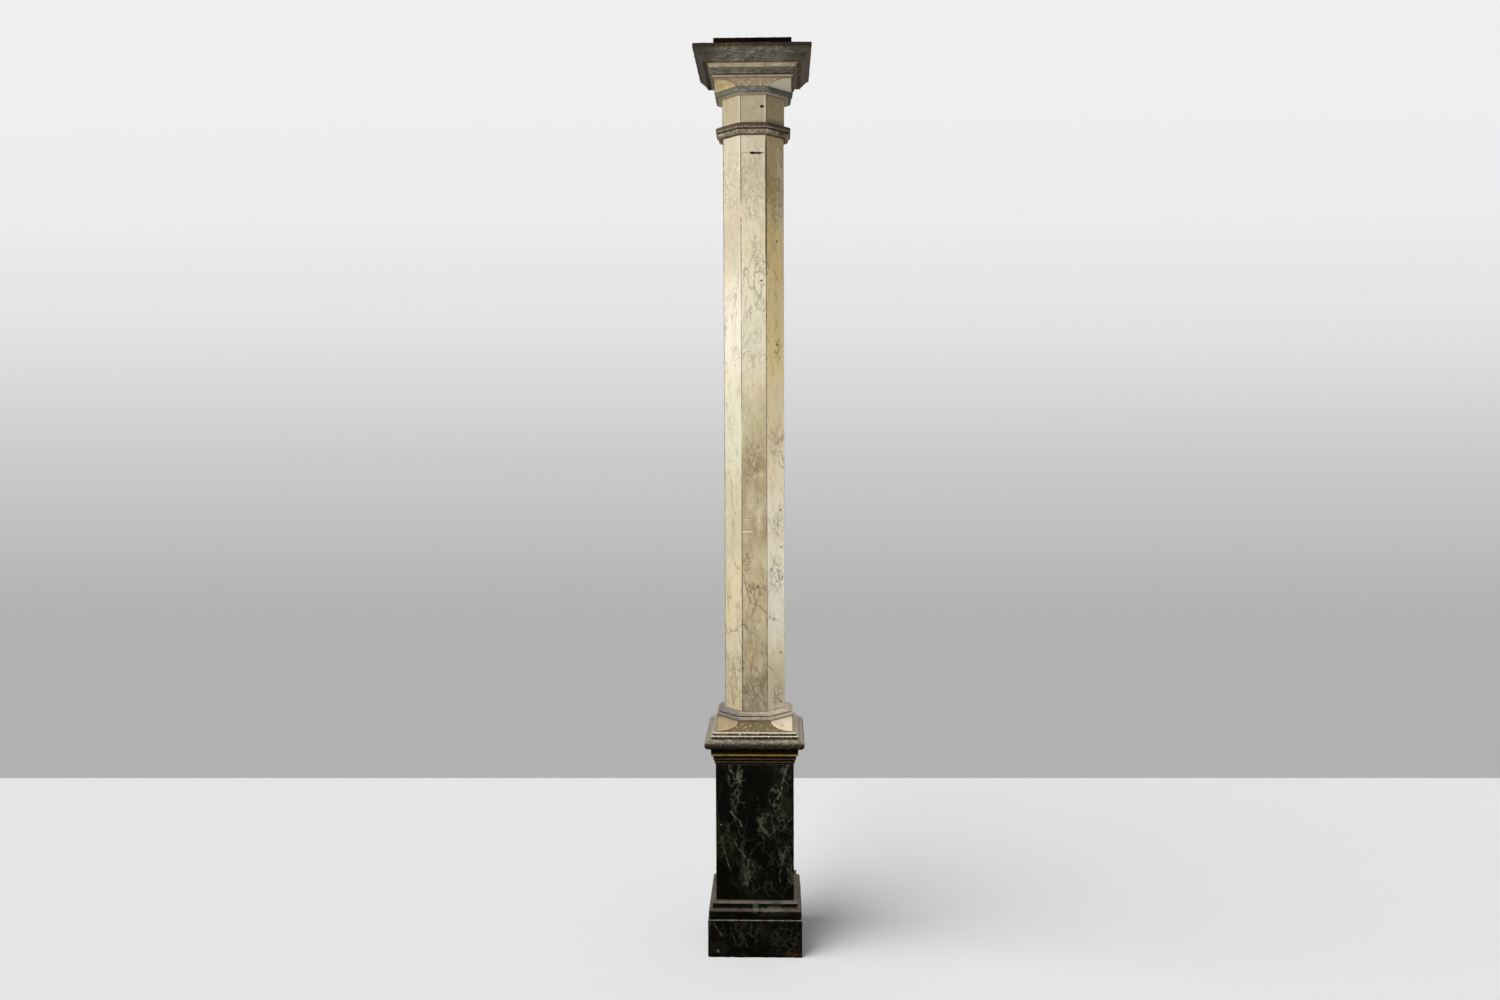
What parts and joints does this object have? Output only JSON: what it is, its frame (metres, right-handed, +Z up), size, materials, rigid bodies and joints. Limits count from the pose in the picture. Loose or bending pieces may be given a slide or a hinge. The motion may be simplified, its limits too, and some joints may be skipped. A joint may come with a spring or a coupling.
{
  "type": "octagonal column on a square pedestal",
  "caption": "Tall octagonal timber column on a square pedestal, with a moulded base, a neck ring and a square moulded capital, painted as marble.",
  "frame": {"origin": "middle of the plinth's underside, on the floor", "axes": "+Z up along the shaft; -Y towards the front face of the pedestal"},
  "size_m": [0.337, 0.337, 2.6626],
  "materials": {
    "plinth_block": "green-black marbled oil paint, satin, rubbed to brown wood at the edges",
    "plinth_moulding": "green-black marbled oil paint, satin, chipped and dusty on its ledges",
    "pedestal_die": "green-black marbled oil paint with grey veins, satin",
    "pedestal_cornice": "brown-black and olive oil paint with an old gold bead",
    "base_torus": "grey-brown marbled oil paint, satin",
    "base_block": "cream marbled oil paint, satin",
    "base_ring": "grey-lilac marbled oil paint, satin",
    "shaft": "cream marbled oil paint with fine grey veins, satin",
    "neck_ring": "grey-brown marbled oil paint, satin",
    "necking": "cream marbled oil paint with fine grey veins, satin",
    "capital_ring": "slate-grey marbled oil paint, satin",
    "capital_block": "cream marbled oil paint, warmer in the corner hollows",
    "bed_fascia": "slate-grey marbled oil paint, satin",
    "bed_cove": "drab beige oil paint, satin",
    "crown": "grey-green marbled oil paint, satin, worn to wood on its fillet",
    "top_block": "bare dark wood, matt"
  },
  "bodies": {
    "root": {"plinth_block": "plinth_block", "plinth_moulding": "plinth_moulding", "pedestal_die": "pedestal_die", "pedestal_cornice": "pedestal_cornice", "base_torus": "base_torus", "base_block": "base_block", "base_ring": "base_ring", "shaft": "shaft", "neck_ring": "neck_ring", "necking": "necking", "capital_ring": "capital_ring", "capital_block": "capital_block", "bed_fascia": "bed_fascia", "bed_cove": "bed_cove", "crown": "crown", "top_block": "top_block"}
  },
  "joints": []
}
